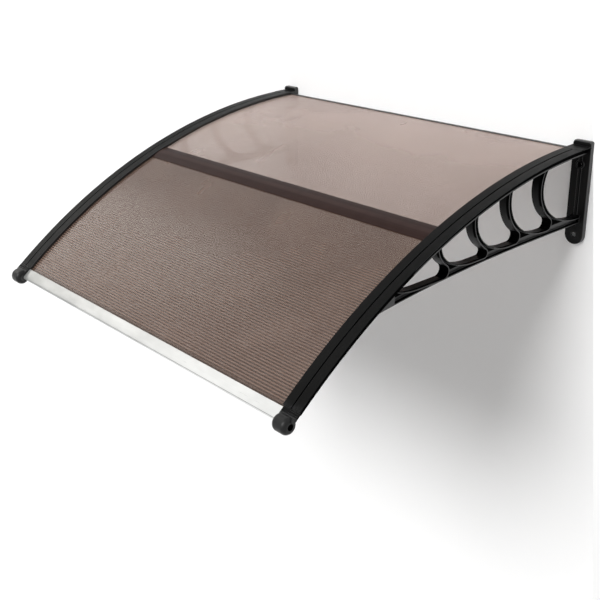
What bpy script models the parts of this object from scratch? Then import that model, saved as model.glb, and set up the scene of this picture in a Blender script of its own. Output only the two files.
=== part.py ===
"""Polycarbonate door canopy: two moulded wall brackets, two fluted sheets and the trim that holds them.

Metres, +Z up. The wall is the plane y = 0, the canopy reaches forward along -Y, and x = 0 is its middle.
z = 0 is the brackets' top surface where it meets the wall plates.
The roof follows one arc. A point on it is given by its travel, the length along the arc from the wall
plate's front face, and its height above the brackets' top surface. Across a bracket, "across" is the
distance from the bracket's inner face.
"""

import math

import bmesh
import bpy
from mathutils import Matrix, Vector

# Overall
overall_width = 1.000
bracket_width = 0.045
roof_radius = 1.400
rear_slope = math.radians(1.25)
fit_gap = 0.0003

# Wall plate, its tab, lip, rib and bolt holes
plate_thickness = 0.012
plate_drop = 0.228
lip_height = 0.011
lip_corner_radius = 0.005
lip_round = 0.004
bolt_radius = 0.0055
upper_bolt_drop = 0.042
boss_radius = 0.010
boss_height = 0.004
tab_face_thickness = 0.004
tab_wall = 0.0035
plate_rib_width = 0.009
plate_rib_height = 0.003
rail_root = 0.0060
end_block_root = 0.0048
truss_root = 0.0036

# Sheet and the channel that holds it
sheet_thickness = 0.0055
sheet_drop = 0.0070
sheet_rear_travel = 0.008
sheet_front_reach = 0.0207
sheet_insertion = 0.014
skin_thickness = 0.0006
flute_pitch = 0.006
flute_wall = 0.0005
joint_travel = 0.491
joiner_web = 0.002

# Bracket top rail
ledge_thickness = 0.003
rail_wall_across = 0.0235
rail_inner_thickness = 0.0125
rail_top_thickness = 0.0032
rail_edge_round = 0.0012
rail_flange_reach = 0.0010
rail_length = 0.940
end_block_length = 0.038
end_block_rise = 0.0006
toe_length = 0.009
roof_steps = 26

# Truss below the rail
truss_depth = 0.024
truss_web = 0.008
truss_rim = 0.0025
chord_rim = 0.003
rib_thickness = 0.010
chord_drop = 0.176
chord_droop = 0.019
chord_droop_reach = 0.590
chord_depth_at_wall = 0.014
chord_depth_at_front = 0.008
floor_fillet = 0.006
pocket_reach = 0.070
# Each opening: its ellipse's distance from the wall, half length, half height, and its corner lobe's radius
openings = (
    (0.020, 0.148, 0.096, None),
    (0.150, 0.132, 0.096, 0.013),
    (0.280, 0.111, 0.078, 0.013),
    (0.400, 0.100, 0.057, 0.0085),
    (0.560, 0.088, 0.032, 0.013),
)

# Press strip
strip_wall = 0.0022
strip_roof = 0.0024
strip_groove = 0.0016
strip_chamfer = 0.0010

# End cap
cap_barrel_radius = 0.0168
cap_barrel_reach = 0.0272
cap_barrel_drop = 0.0070
cap_barrel_edge = 0.0090
cap_inset = 0.0052
cap_tail_stop = 0.0072
cap_face_recess = 0.004
cap_face_rim = 0.0015
cap_tongue_length = 0.012
cap_tongue_height = 0.005
cap_tongue_inset = 0.0065
cap_ridges = 3
cap_ridge_pitch = 0.0048
cap_ridge_width = 0.0022
cap_ridge_height = 0.0008
cap_ridge_start = 0.0029

# Joiner, front rail and rear edge strip
joiner_top_width = 0.049
joiner_bottom_width = 0.036
joiner_edge_thickness = 0.0015
joiner_crown = 0.0042
joiner_crown_width = 0.017
joiner_shoulder_rise = 0.62
trim_thickness = 0.0015
front_rail_lip = 0.019
rear_strip_lip = 0.006
rear_strip_wall = 0.002

# Screws
screw_shank_radius = 0.00175
screw_head_radius = 0.0040
screw_head_height = 0.0024
screw_length = 0.0115
screw_face_radius = 0.0028
screw_edge_height = 0.0010
screw_tip_length = 0.0028
screw_slot_width = 0.0009
screw_slot_depth = 0.0010
screw_slot_reach = 0.0024
front_screw_inset = 0.080

# Worked out from the sizes above
half_width = overall_width / 2
inner_face = half_width - bracket_width
arc_centre_y = -plate_thickness + roof_radius * math.sin(rear_slope)
arc_centre_z = -roof_radius * math.cos(rear_slope)
sheet_top = -sheet_drop
sheet_bottom = sheet_top - sheet_thickness
clamp_height = sheet_top + fit_gap
ledge_top = sheet_bottom - fit_gap
ledge_bottom = ledge_top - ledge_thickness
rail_inner_across = rail_wall_across + rail_inner_thickness
rail_flange_across = rail_inner_across + rail_flange_reach
cap_tongue_across = bracket_width - cap_tongue_inset
truss_low = (bracket_width - truss_depth) / 2
truss_high = truss_low + truss_depth
plate_middle = half_width - bracket_width / 2
tab_radius = bracket_width / 2
tab_z = -plate_drop + tab_radius
screw_across = (sheet_insertion + 2 * fit_gap + rail_wall_across - strip_groove) / 2
screw_hole_radius = screw_shank_radius + fit_gap
cap_travel = rail_length + fit_gap
cap_barrel_travel = cap_travel + cap_barrel_reach
cap_tail_end = cap_barrel_travel - cap_tail_stop
sheet_front_travel = cap_travel + sheet_front_reach
front_screw_travel = rail_length - front_screw_inset
trim_half_length = inner_face - fit_gap
front_rail_half_length = inner_face + cap_inset - fit_gap

BLACK = ("black_plastic", (0.028, 0.029, 0.030), 0.42, 0.0)
BRONZE = ("bronze_polycarbonate", (0.30, 0.22, 0.185), 0.25, 0.0)
BROWN = ("brown_profile", (0.085, 0.062, 0.055), 0.40, 0.0)
ALUMINIUM = ("aluminium", (0.82, 0.83, 0.83), 0.32, 1.0)
STEEL = ("zinc_steel", (0.62, 0.63, 0.65), 0.35, 1.0)


def clear_scene():
    for item in list(bpy.data.objects):
        bpy.data.objects.remove(item, do_unlink=True)


# Places

def on_roof(travel, height):
    """The (y, z) of a point at this travel along the roof and height above the brackets' top."""
    angle = rear_slope + travel / roof_radius
    radius = roof_radius + height
    return (arc_centre_y - radius * math.sin(angle), arc_centre_z + radius * math.cos(angle))


def roof_height_at(y, height):
    """The z of the roof's arc, moved by height, straight above or below y."""
    radius = roof_radius + height
    return arc_centre_z + math.sqrt(radius ** 2 - (y - arc_centre_y) ** 2)


def travel_at(y):
    return (math.asin((arc_centre_y - y) / roof_radius) - rear_slope) * roof_radius


def steps(start, end, count):
    return [start + (end - start) * i / count for i in range(count + 1)]


def solve(function, low, high):
    """The value between low and high where function, which falls from positive to negative, is zero."""
    for _ in range(60):
        middle = (low + high) / 2
        if function(middle) > 0:
            low = middle
        else:
            high = middle
    return (low + high) / 2


# Meshes

def make_material(kind):
    name, colour, roughness, metallic = kind
    material = bpy.data.materials.new(name)
    material.use_nodes = True
    shader = material.node_tree.nodes["Principled BSDF"]
    shader.inputs["Base Color"].default_value = (*colour, 1.0)
    shader.inputs["Roughness"].default_value = roughness
    shader.inputs["Metallic"].default_value = metallic
    return material


def make_object(name, mesh):
    item = bpy.data.objects.new(name, mesh)
    bpy.context.scene.collection.objects.link(item)
    return item


def mesh_from(name, points, faces):
    """A closed mesh object with its faces turned outward, its points rounded so flush faces stay flush."""
    mesh = bpy.data.meshes.new(name)
    mesh.from_pydata([[round(value, 7) for value in point] for point in points], [], faces)
    form = bmesh.new()
    form.from_mesh(mesh)
    bmesh.ops.recalc_face_normals(form, faces=form.faces)
    form.to_mesh(mesh)
    form.free()
    return make_object(name, mesh)


def rings_to_solid(name, rings):
    """A solid through rings of points that match one to one, with a flat cap at each end."""
    size = len(rings[0])
    points = [point for ring in rings for point in ring]
    faces = [list(range(size)), list(range(len(points) - size, len(points)))]
    for row in range(len(rings) - 1):
        base = row * size
        for i in range(size):
            j = (i + 1) % size
            faces.append([base + i, base + j, base + size + j, base + size + i])
    return mesh_from(name, points, faces)


def extrude_across(name, outline, low, high):
    """A side-view outline of (y, z) points carried across from x = low to x = high."""
    return rings_to_solid(name, [[(x, y, z) for y, z in outline] for x in (low, high)])


def roof_outline(profile):
    """A side-view outline from (travel, height) points."""
    return [on_roof(travel, height) for travel, height in profile]


def rectangle(low, high, foot, top):
    """A cross-section between two distances across and two heights."""
    return [(low, foot), (low, top), (high, top), (high, foot)]


def sweep_along_roof(name, section, start, end, count):
    """A cross-section of (across, height) points of the right bracket, swept along the roof."""
    rings = []
    for travel in steps(start, end, count):
        rings.append([(inner_face + across, *on_roof(travel, height)) for across, height in section])
    return rings_to_solid(name, rings)


def turn(name, profile, segments):
    """A solid of revolution about Z from (radius, z) points; the end points lie on the axis."""
    points = [(0.0, 0.0, profile[0][1])]
    faces = []
    for radius, z in profile[1:-1]:
        for i in range(segments):
            angle = 2 * math.pi * i / segments
            points.append((radius * math.cos(angle), radius * math.sin(angle), z))
    points.append((0.0, 0.0, profile[-1][1]))
    last = len(points) - 1
    bands = len(profile) - 2
    for i in range(segments):
        j = (i + 1) % segments
        faces.append([0, 1 + j, 1 + i])
        for band in range(bands - 1):
            low = 1 + band * segments
            high = low + segments
            faces.append([low + i, low + j, high + j, high + i])
        top = 1 + (bands - 1) * segments
        faces.append([top + i, top + j, last])
    return mesh_from(name, points, faces)


def box(name, low, high):
    corners = [(low[0], low[1]), (high[0], low[1]), (high[0], high[1]), (low[0], high[1])]
    return rings_to_solid(name, [[(x, y, z) for x, y in corners] for z in (low[2], high[2])])


def combine(target, tool, operation):
    """Joins or cuts target with tool, then removes tool."""
    modifier = target.modifiers.new(operation.lower(), "BOOLEAN")
    modifier.operation = operation
    modifier.solver = "EXACT"
    modifier.object = tool
    graph = bpy.context.evaluated_depsgraph_get()
    result = bpy.data.meshes.new_from_object(target.evaluated_get(graph))
    target.modifiers.clear()
    old = target.data
    target.data = result
    bpy.data.meshes.remove(old)
    bpy.data.objects.remove(tool, do_unlink=True)
    return target


def join(target, tool):
    return combine(target, tool, "UNION")


def cut(target, tool):
    return combine(target, tool, "DIFFERENCE")


def finish(item, material, smooth_angle=32.0):
    """Cleans the mesh, shades its rounds smooth and gives it its material."""
    form = bmesh.new()
    form.from_mesh(item.data)
    bmesh.ops.remove_doubles(form, verts=form.verts, dist=1e-6)
    bmesh.ops.dissolve_degenerate(form, edges=form.edges, dist=1e-6)
    bmesh.ops.triangulate(form, faces=[face for face in form.faces if len(face.verts) > 4])
    form.to_mesh(item.data)
    form.free()
    item.data.shade_smooth()
    item.data.set_sharp_from_angle(angle=math.radians(smooth_angle))
    item.data.materials.clear()
    item.data.materials.append(material)
    return item


def mirrored(item, name):
    """The left-hand copy of a right-hand piece."""
    mesh = item.data.copy()
    mesh.transform(Matrix.Scale(-1, 4, Vector((1, 0, 0))))
    mesh.flip_normals()
    return make_object(name, mesh)


# Bracket

def chord_underside(y):
    """The lower chord's underside: level at the wall, drooping towards the front."""
    return -chord_drop - chord_droop * (-y / chord_droop_reach) ** 3


def chord_depth(y):
    share = min(-y / chord_droop_reach, 1.0)
    return chord_depth_at_wall + (chord_depth_at_front - chord_depth_at_wall) * share


def opening_ellipse(index):
    """Centre y, centre z, half length and half height of one opening's ellipse."""
    distance, half_length, half_height, _ = openings[index]
    floor = chord_underside(-distance) + chord_depth(-distance)
    return (-distance, floor + half_height, half_length, half_height)


def ellipse_point(ellipse, angle, offset=0.0):
    """A point on the ellipse, or moved out by offset. Angle 0 is its front end, 90 degrees its foot."""
    centre_y, centre_z, half_length, half_height = ellipse
    y = centre_y - half_length * math.cos(angle)
    z = centre_z - half_height * math.sin(angle)
    normal_y = -math.cos(angle) / half_length
    normal_z = -math.sin(angle) / half_height
    size = math.hypot(normal_y, normal_z)
    return (y + offset * normal_y / size, z + offset * normal_z / size)


def top_angle(ellipse, offset=0.0):
    """The angle, above the front end, where the curve has risen past the rail's underside."""
    clearance = ledge_thickness + truss_rim

    def below(angle):
        y, z = ellipse_point(ellipse, -angle, offset)
        return roof_height_at(y, ledge_bottom) + clearance - z

    if below(0.0) < 0:
        return 0.0
    return -solve(below, 0.0, math.radians(80))


def opening_outline(index):
    """The outline of one opening, from its top front, down round its floor and up its wall-side edge."""
    ellipse = opening_ellipse(index)
    foot = math.radians(90)
    outline = [ellipse_point(ellipse, angle) for angle in steps(top_angle(ellipse), foot, 13)]
    floor = outline[-1][1]
    if index == 0:
        plate_face = -plate_thickness
        outline.append((plate_face - floor_fillet, floor))
        for angle in steps(math.radians(-60), 0.0, 3):
            outline.append((plate_face - floor_fillet * (1 - math.cos(angle)),
                            floor + floor_fillet * (1 + math.sin(angle))))
        inside_plate = plate_face + plate_thickness / 2
        outline.append((inside_plate, floor + floor_fillet * 1.5))
        outline.append((inside_plate, roof_height_at(inside_plate, ledge_top)))
        return outline
    lobe = openings[index][3]
    neighbour = opening_ellipse(index - 1)
    reach = rib_thickness + lobe

    def lobe_height(angle):
        return ellipse_point(neighbour, angle, reach)[1] - (floor + lobe)

    touch = solve(lobe_height, 0.0, foot)
    centre_y, centre_z = ellipse_point(neighbour, touch, reach)
    meet_y, meet_z = ellipse_point(neighbour, touch, rib_thickness)
    end = math.atan2(meet_z - centre_z, meet_y - centre_y)
    for angle in steps(-foot, end, 5):
        outline.append((centre_y + lobe * math.cos(angle), centre_z + lobe * math.sin(angle)))
    for angle in steps(touch, top_angle(neighbour, rib_thickness), 7)[1:]:
        outline.append(ellipse_point(neighbour, angle, rib_thickness))
    return outline


def offset_outline(outline, distance):
    """The outline moved outward by distance; the outline runs anticlockwise with y to the right, z up."""
    moved = []
    for i, (y, z) in enumerate(outline):
        before = outline[i - 1]
        after = outline[(i + 1) % len(outline)]
        run_y, run_z = after[0] - before[0], after[1] - before[1]
        size = math.hypot(run_y, run_z)
        moved.append((y + distance * run_z / size, z - distance * run_y / size))
    return moved


def truss_front():
    """The y where the lower chord's underside runs into the rail."""
    bury = ledge_bottom + ledge_thickness / 2

    def room(distance):
        return roof_height_at(-distance, bury) - chord_underside(-distance)

    return -solve(room, plate_thickness, -on_roof(rail_length, 0.0)[0])


def lower_curve(start, end, lift, count):
    return [(y, chord_underside(y) + lift) for y in steps(start, end, count)]


def upper_curve(start, end, height, count):
    return [(y, roof_height_at(y, height)) for y in steps(start, end, count)]


def build_truss():
    """The pierced truss: a thin web, a rim round every opening and a rim along its underside."""
    root = -truss_root
    front = truss_front()
    bury = ledge_bottom + ledge_thickness / 2
    outline = lower_curve(root, front, 0.0, 18)[:-1] + upper_curve(front, root, bury, 18)
    truss = extrude_across("truss", outline, inner_face + truss_low, inner_face + truss_high)
    outlines = [opening_outline(i) for i in range(len(openings))]

    last = opening_ellipse(len(openings) - 1)
    pocket_front = last[0] - pocket_reach
    pocket_rear = -plate_thickness - truss_rim
    pocket_top = ledge_bottom - truss_rim / 2
    pocket = lower_curve(pocket_rear, pocket_front, chord_rim, 14)
    pocket += upper_curve(pocket_front, pocket_rear, pocket_top, 14)
    past = truss_depth
    web_low = inner_face + (bracket_width - truss_web) / 2
    web_high = web_low + truss_web
    for low, high in ((web_low - past, web_low), (web_high, web_high + past)):
        recess = extrude_across("recess", pocket, low, high)
        for edge in outlines:
            rim = extrude_across("rim", offset_outline(edge, truss_rim), low - past, high + past)
            cut(recess, rim)
        cut(truss, recess)
    for edge in outlines:
        cut(truss, extrude_across("opening", edge, inner_face - past, half_width + past))
    return truss


def plate_outline(top):
    """The wall plate seen from the front, (x, z): rounded top corners and a half-round tab below."""
    corner = lip_corner_radius
    outline = []
    for angle in steps(math.pi, 2 * math.pi, 16):
        outline.append((plate_middle + tab_radius * math.cos(angle), tab_z + tab_radius * math.sin(angle)))
    for x, start in ((half_width - corner, 0.0), (inner_face + corner, math.pi / 2)):
        for angle in steps(start, start + math.pi / 2, 4):
            outline.append((x + corner * math.cos(angle), top - corner + corner * math.sin(angle)))
    return outline


def peg(name, x, z, radius, front, back, segments=20):
    """A round bar along Y."""
    rings = []
    for y in (front, back):
        ring = []
        for i in range(segments):
            angle = 2 * math.pi * i / segments
            ring.append((x + radius * math.cos(angle), y, z + radius * math.sin(angle)))
        rings.append(ring)
    return rings_to_solid(name, rings)


def build_plate():
    """The wall plate with its round-topped lip, central rib and upper boss, and its tab, hollow behind."""
    face = -plate_thickness
    rings = []
    for angle in steps(math.pi / 2, 0.0, 3):
        y = face + lip_round * (1 - math.sin(angle))
        rings.append([(x, y, z) for x, z in plate_outline(lip_height - lip_round * (1 - math.cos(angle)))])
    rings.append([(x, 0.0, z) for x, z in plate_outline(lip_height)])
    plate = rings_to_solid("plate", rings)

    inside = face / 2
    rib_foot = chord_underside(face) + chord_depth(face) / 2
    half_rib = plate_rib_width / 2
    crest = face - plate_rib_height
    rib = [(-half_rib, inside), (half_rib, inside), (half_rib, face), (half_rib / 2, crest),
           (-half_rib / 2, crest), (-half_rib, face)]
    join(plate, rings_to_solid("plate_rib", [[(plate_middle + x, y, z) for x, y in rib]
                                             for z in (rib_foot, ledge_top)]))
    join(plate, peg("boss", plate_middle, -upper_bolt_drop, boss_radius, face - boss_height, inside))
    cut(plate, peg("tab_pocket", plate_middle, tab_z, tab_radius - tab_wall,
                   face + tab_face_thickness, plate_thickness))
    return plate


def bolt_holes():
    """The two bolt holes' cutters."""
    return [peg("bolt_hole", plate_middle, z, bolt_radius, -3 * plate_thickness, plate_thickness)
            for z in (-upper_bolt_drop, tab_z)]


def rail_section():
    """The bracket's top rail: a sheet ledge, a stop wall, and a slab that overhangs a recessed side."""
    return [
        (0.0, ledge_bottom),
        (0.0, ledge_top),
        (rail_wall_across, ledge_top),
        (rail_wall_across, -strip_chamfer),
        (rail_wall_across + strip_chamfer / 2, 0.0),
        (bracket_width - rail_edge_round, 0.0),
        (bracket_width - rail_edge_round / 3, -rail_edge_round / 3),
        (bracket_width, -rail_edge_round),
        (bracket_width, -rail_top_thickness),
        (rail_inner_across, -rail_top_thickness),
        (rail_inner_across, ledge_top),
        (rail_flange_across, ledge_top),
        (rail_flange_across, ledge_bottom),
    ]


def end_block_section():
    """The block that closes the channel next to the wall, over the sheet's rear corner."""
    inner = sheet_insertion + fit_gap
    bury = ledge_top - ledge_thickness / 4
    return [
        (0.0, end_block_rise),
        (0.0, clamp_height),
        (inner, clamp_height),
        (inner, bury),
        (rail_wall_across + strip_chamfer, bury),
        (rail_wall_across + strip_chamfer, -rail_top_thickness / 2),
        (bracket_width - strip_chamfer / 2, -rail_top_thickness / 2),
        (bracket_width - strip_chamfer / 2, end_block_rise),
    ]


def screw_travels():
    """Where the strip screws sit: over the middle of each opening, and one near the rail's front."""
    travels = []
    for index in range(len(openings)):
        outline = opening_outline(index)
        rear = outline[-1][0] if index else -plate_thickness
        travels.append(travel_at((outline[0][0] + rear) / 2))
    return travels + [front_screw_travel]


def screw_frame(travel, height):
    """The place of a screw at this travel, its axis along the roof's normal, pointing up."""
    y, z = on_roof(travel, height)
    angle = rear_slope + travel / roof_radius
    return Matrix.Translation((inner_face + screw_across, y, z)) @ Matrix.Rotation(angle, 4, "X")


def screw_hole(travel, low, high):
    """A cutter for a screw's clearance hole between two heights."""
    hole = turn("screw_hole", [(0, low), (screw_hole_radius, low), (screw_hole_radius, high), (0, high)], 8)
    hole.data.transform(screw_frame(travel, 0.0))
    return hole


def build_bracket():
    bracket = build_plate()
    join(bracket, sweep_along_roof("rail", rail_section(), -rail_root, rail_length, roof_steps))
    join(bracket, sweep_along_roof("end_block", end_block_section(), -end_block_root, end_block_length, 3))
    toe = rectangle(sheet_insertion + 2 * fit_gap, rail_inner_across - ledge_thickness,
                    ledge_bottom + fit_gap / 2, ledge_top - fit_gap / 2)
    join(bracket, sweep_along_roof("toe", toe, rail_length - toe_length, rail_length + toe_length, 3))
    join(bracket, build_truss())
    for hole in bolt_holes():
        cut(bracket, hole)
    past = ledge_thickness
    for travel in screw_travels() + [cap_screw_travel()]:
        cut(bracket, screw_hole(travel, ledge_bottom - past, ledge_top + past))
    bracket.name = "right_bracket"
    return bracket


# Press strip and end cap

def strip_section():
    """A channel that bridges the sheet's edge, with two lips on the sheet and a foot over the ledge."""
    outer = rail_wall_across - strip_groove
    foot_inner = sheet_insertion + 2 * fit_gap
    foot = ledge_top + fit_gap
    return [
        (0.0, -strip_chamfer),
        (0.0, clamp_height),
        (strip_wall, clamp_height),
        (strip_wall, -strip_roof),
        (foot_inner - strip_wall, -strip_roof),
        (foot_inner - strip_wall, clamp_height),
        (foot_inner, clamp_height),
        (foot_inner, foot),
        (outer, foot),
        (outer, -strip_chamfer),
        (outer - strip_chamfer, 0.0),
        (strip_chamfer, 0.0),
    ]


def build_press_strip():
    strip = sweep_along_roof("right_press_strip", strip_section(), end_block_length + fit_gap,
                             rail_length, roof_steps)
    for travel in screw_travels():
        cut(strip, screw_hole(travel, ledge_top - ledge_thickness, screw_tip_height() + 3 * fit_gap))
    return strip


def cap_screw_travel():
    return rail_length + toe_length / 2


def build_end_cap():
    """A barrel across the bracket's front end, with a tail over the ledge's toe and a tongue in the rail."""
    tail_foot = ledge_top + fit_gap
    tail = [
        (cap_inset, tail_foot),
        (cap_inset, 0.0),
        (bracket_width - rail_edge_round / 2, 0.0),
        (bracket_width, -rail_edge_round / 2),
        (bracket_width, -rail_top_thickness),
        (cap_tongue_across, -rail_top_thickness),
        (cap_tongue_across, tail_foot),
    ]
    cap = sweep_along_roof("right_end_cap", tail, cap_travel, cap_tail_end, 3)

    for i in range(cap_ridges):
        middle = cap_travel + cap_ridge_start + i * cap_ridge_pitch
        low = middle - cap_ridge_width / 2
        high = middle + cap_ridge_width / 2
        slope = cap_ridge_width / 4
        ridge = [(low, -slope), (high, -slope),
                 (high - slope, cap_ridge_height), (low + slope, cap_ridge_height)]
        inset = cap_ridge_width / 2
        join(cap, extrude_across("ridge", roof_outline(ridge),
                                 inner_face + rail_wall_across, half_width - inset))

    half_length = (bracket_width - 2 * cap_inset) / 2
    profile = [(0, -half_length)]
    for angle in steps(-math.pi / 2, 0.0, 3):
        profile.append((cap_barrel_radius - cap_barrel_edge * (1 - math.cos(angle)),
                        cap_barrel_edge * (1 + math.sin(angle)) - half_length))
    profile += [(radius, -z) for radius, z in reversed(profile)]
    barrel = turn("barrel", profile, 24)
    face_radius = cap_barrel_radius - cap_barrel_edge - cap_face_rim
    past = half_length + cap_inset
    floor = half_length - cap_face_recess
    face = turn("face_recess", [(0, floor), (face_radius, floor), (face_radius, past), (0, past)], 16)
    cut(barrel, face)
    y, z = on_roof(cap_barrel_travel, -cap_barrel_drop)
    barrel.data.transform(Matrix.Translation((plate_middle, y, z)) @ Matrix.Rotation(math.pi / 2, 4, "Y"))
    join(cap, barrel)

    tongue_top = -rail_top_thickness - fit_gap
    tongue = rectangle(rail_inner_across + fit_gap, cap_tongue_across - fit_gap,
                       tongue_top - cap_tongue_height, tongue_top)
    join(cap, sweep_along_roof("tongue", tongue, cap_travel - cap_tongue_length,
                               cap_travel + cap_ridge_width, 2))
    inner = sheet_insertion + fit_gap
    notch = rectangle(-inner, inner, tail_foot - inner, clamp_height)
    cut(cap, sweep_along_roof("sheet_notch", notch, cap_travel - inner, sheet_front_travel + fit_gap, 2))
    cut(cap, screw_hole(cap_screw_travel(), ledge_top - ledge_thickness, screw_tip_height() + 3 * fit_gap))
    return cap


# Sheets and trim

def build_sheet(name, start, end):
    """A twin-wall sheet whose flutes run from side to side, open at both ends."""
    count = round((end - start) / flute_pitch)
    edges = steps(start, end, count)
    half = inner_face + sheet_insertion
    roof_top, roof_foot = sheet_top - skin_thickness, sheet_bottom + skin_thickness
    points, faces = [], []

    def add(x, travel, height):
        points.append((x, *on_roof(travel, height)))
        return len(points) - 1

    sides = []
    for x in (-half, half):
        top = [add(x, travel, sheet_top) for travel in edges]
        foot = [add(x, travel, sheet_bottom) for travel in edges]
        cells = []
        for i in range(count):
            rear = edges[i] + (flute_wall if i == 0 else flute_wall / 2)
            front = edges[i + 1] - (flute_wall if i == count - 1 else flute_wall / 2)
            cells.append([add(x, rear, roof_top), add(x, front, roof_top),
                          add(x, front, roof_foot), add(x, rear, roof_foot)])
        for i, cell in enumerate(cells):
            faces.append([top[i], top[i + 1], cell[1], cell[0]])
            faces.append([foot[i], cell[3], cell[2], foot[i + 1]])
        faces.append([top[0], cells[0][0], cells[0][3], foot[0]])
        faces.append([top[-1], foot[-1], cells[-1][2], cells[-1][1]])
        for i in range(1, count):
            before, after = cells[i - 1], cells[i]
            faces.append([top[i], after[0], after[3], foot[i], before[2], before[1]])
        sides.append((top, foot, cells))
    (top_a, foot_a, cells_a), (top_b, foot_b, cells_b) = sides
    for i in range(count):
        faces.append([top_a[i], top_a[i + 1], top_b[i + 1], top_b[i]])
        faces.append([foot_a[i], foot_a[i + 1], foot_b[i + 1], foot_b[i]])
        for j in range(4):
            k = (j + 1) % 4
            faces.append([cells_a[i][j], cells_a[i][k], cells_b[i][k], cells_b[i][j]])
    for i in (0, count):
        faces.append([top_a[i], foot_a[i], foot_b[i], top_b[i]])
    return mesh_from(name, points, faces)


def build_trim(name, profile, half_length):
    """A profile of (travel, height) points, carried across the canopy."""
    return extrude_across(name, roof_outline(profile), -half_length, half_length)


def joiner_profile():
    """An H-profile: a domed top flange, a web between the two sheets and a narrower bottom flange."""
    top, foot = joiner_top_width / 2, joiner_bottom_width / 2
    web = joiner_web / 2
    edge = clamp_height + joiner_edge_thickness
    crown = clamp_height + joiner_crown
    half_crown = joiner_crown_width / 2
    shoulder = (top + half_crown) / 2
    shoulder_height = edge + (crown - edge) * joiner_shoulder_rise
    right = [(web, ledge_top), (web, clamp_height), (top, clamp_height),
             (top, edge - joiner_edge_thickness / 3), (top - joiner_edge_thickness / 2, edge),
             (shoulder, shoulder_height),
             (half_crown, crown - joiner_edge_thickness / 4), (half_crown / 2, crown)]
    bottom = [(foot, ledge_top - trim_thickness), (foot, ledge_top)]
    right = bottom + right
    left = [(-offset, height) for offset, height in reversed(right)]
    return [(joint_travel + offset, height) for offset, height in right + left]


def front_rail_profile():
    """A channel over the sheet's front edge with a round nose."""
    outer_top = clamp_height + trim_thickness
    outer_foot = ledge_top - trim_thickness
    radius = (outer_top - outer_foot) / 2
    slot_end = sheet_front_travel + fit_gap
    centre = slot_end + trim_thickness * 2
    middle = (outer_top + outer_foot) / 2
    rear = sheet_front_travel - front_rail_lip
    profile = [(slot_end, clamp_height), (rear, clamp_height), (rear, outer_top)]
    profile += [(travel, outer_top) for travel in steps(rear, centre, 2)[1:-1]]
    for angle in steps(math.pi / 2, -math.pi / 2, 12):
        profile.append((centre + radius * math.cos(angle), middle + radius * math.sin(angle)))
    profile += [(rear, outer_foot), (rear, ledge_top), (slot_end, ledge_top)]
    return profile


def rear_strip_profile():
    """A thin channel over the sheet's rear edge."""
    slot_end = sheet_rear_travel - fit_gap
    rear = slot_end - rear_strip_wall
    front = sheet_rear_travel + rear_strip_lip
    top, foot = clamp_height + trim_thickness, ledge_top - trim_thickness
    return [(slot_end, clamp_height), (front, clamp_height), (front, top), (rear, top),
            (rear, foot), (front, foot), (front, ledge_top), (slot_end, ledge_top)]


# Screws

def screw_tip_height():
    """The height of a screw's tip above the brackets' top: its length, counted from the head's seat."""
    return ledge_bottom - fit_gap + screw_length


def build_screw(name, travel):
    """A pan-head screw with a cross slot, driven up from below."""
    foot = -screw_head_height
    profile = [
        (0, foot),
        (screw_face_radius, foot),
        (screw_head_radius, -screw_edge_height),
        (screw_head_radius, 0),
        (screw_shank_radius, 0),
        (screw_shank_radius, screw_length - screw_tip_length),
        (0, screw_length),
    ]
    screw = turn(name, profile, 8)
    half_slot = screw_slot_width / 2
    for half_x, half_y in ((screw_slot_reach, half_slot), (half_slot, screw_slot_reach)):
        slot = box("slot", (-half_x, -half_y, foot - screw_slot_depth),
                   (half_x, half_y, foot + screw_slot_depth))
        cut(screw, slot)
    screw.matrix_world = screw_frame(travel, ledge_bottom - fit_gap)
    return screw


def mirrored_frame(frame):
    """The same place on the left-hand side, for a piece that is its own mirror image."""
    flip = Matrix.Scale(-1, 4, Vector((1, 0, 0)))
    return flip @ frame @ flip


def main():
    clear_scene()
    black, bronze, brown, aluminium, steel = [make_material(kind)
                                              for kind in (BLACK, BRONZE, BROWN, ALUMINIUM, STEEL)]
    for build in (build_bracket, build_press_strip, build_end_cap):
        right = finish(build(), black.copy())
        left = mirrored(right, right.name.replace("right", "left"))
        left.data.materials[0] = black.copy()

    half_joint = joiner_web / 2 + fit_gap
    finish(build_sheet("rear_sheet", sheet_rear_travel, joint_travel - half_joint), bronze.copy())
    finish(build_sheet("front_sheet", joint_travel + half_joint, sheet_front_travel), bronze.copy())
    finish(build_trim("sheet_joiner", joiner_profile(), trim_half_length), brown, 12.0)
    finish(build_trim("front_rail", front_rail_profile(), front_rail_half_length), aluminium)
    finish(build_trim("rear_edge_strip", rear_strip_profile(), trim_half_length), black.copy())

    for number, travel in enumerate(screw_travels() + [cap_screw_travel()], start=1):
        screw = finish(build_screw(f"right_screw_{number}", travel), steel.copy())
        twin = make_object(f"left_screw_{number}", screw.data)
        twin.matrix_world = mirrored_frame(screw.matrix_world)


main()
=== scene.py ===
"""Looks of the polycarbonate door canopy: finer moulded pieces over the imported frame, materials, light and camera."""

import functools
import math

import bmesh
import bpy
from mathutils import Matrix, Vector


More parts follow.
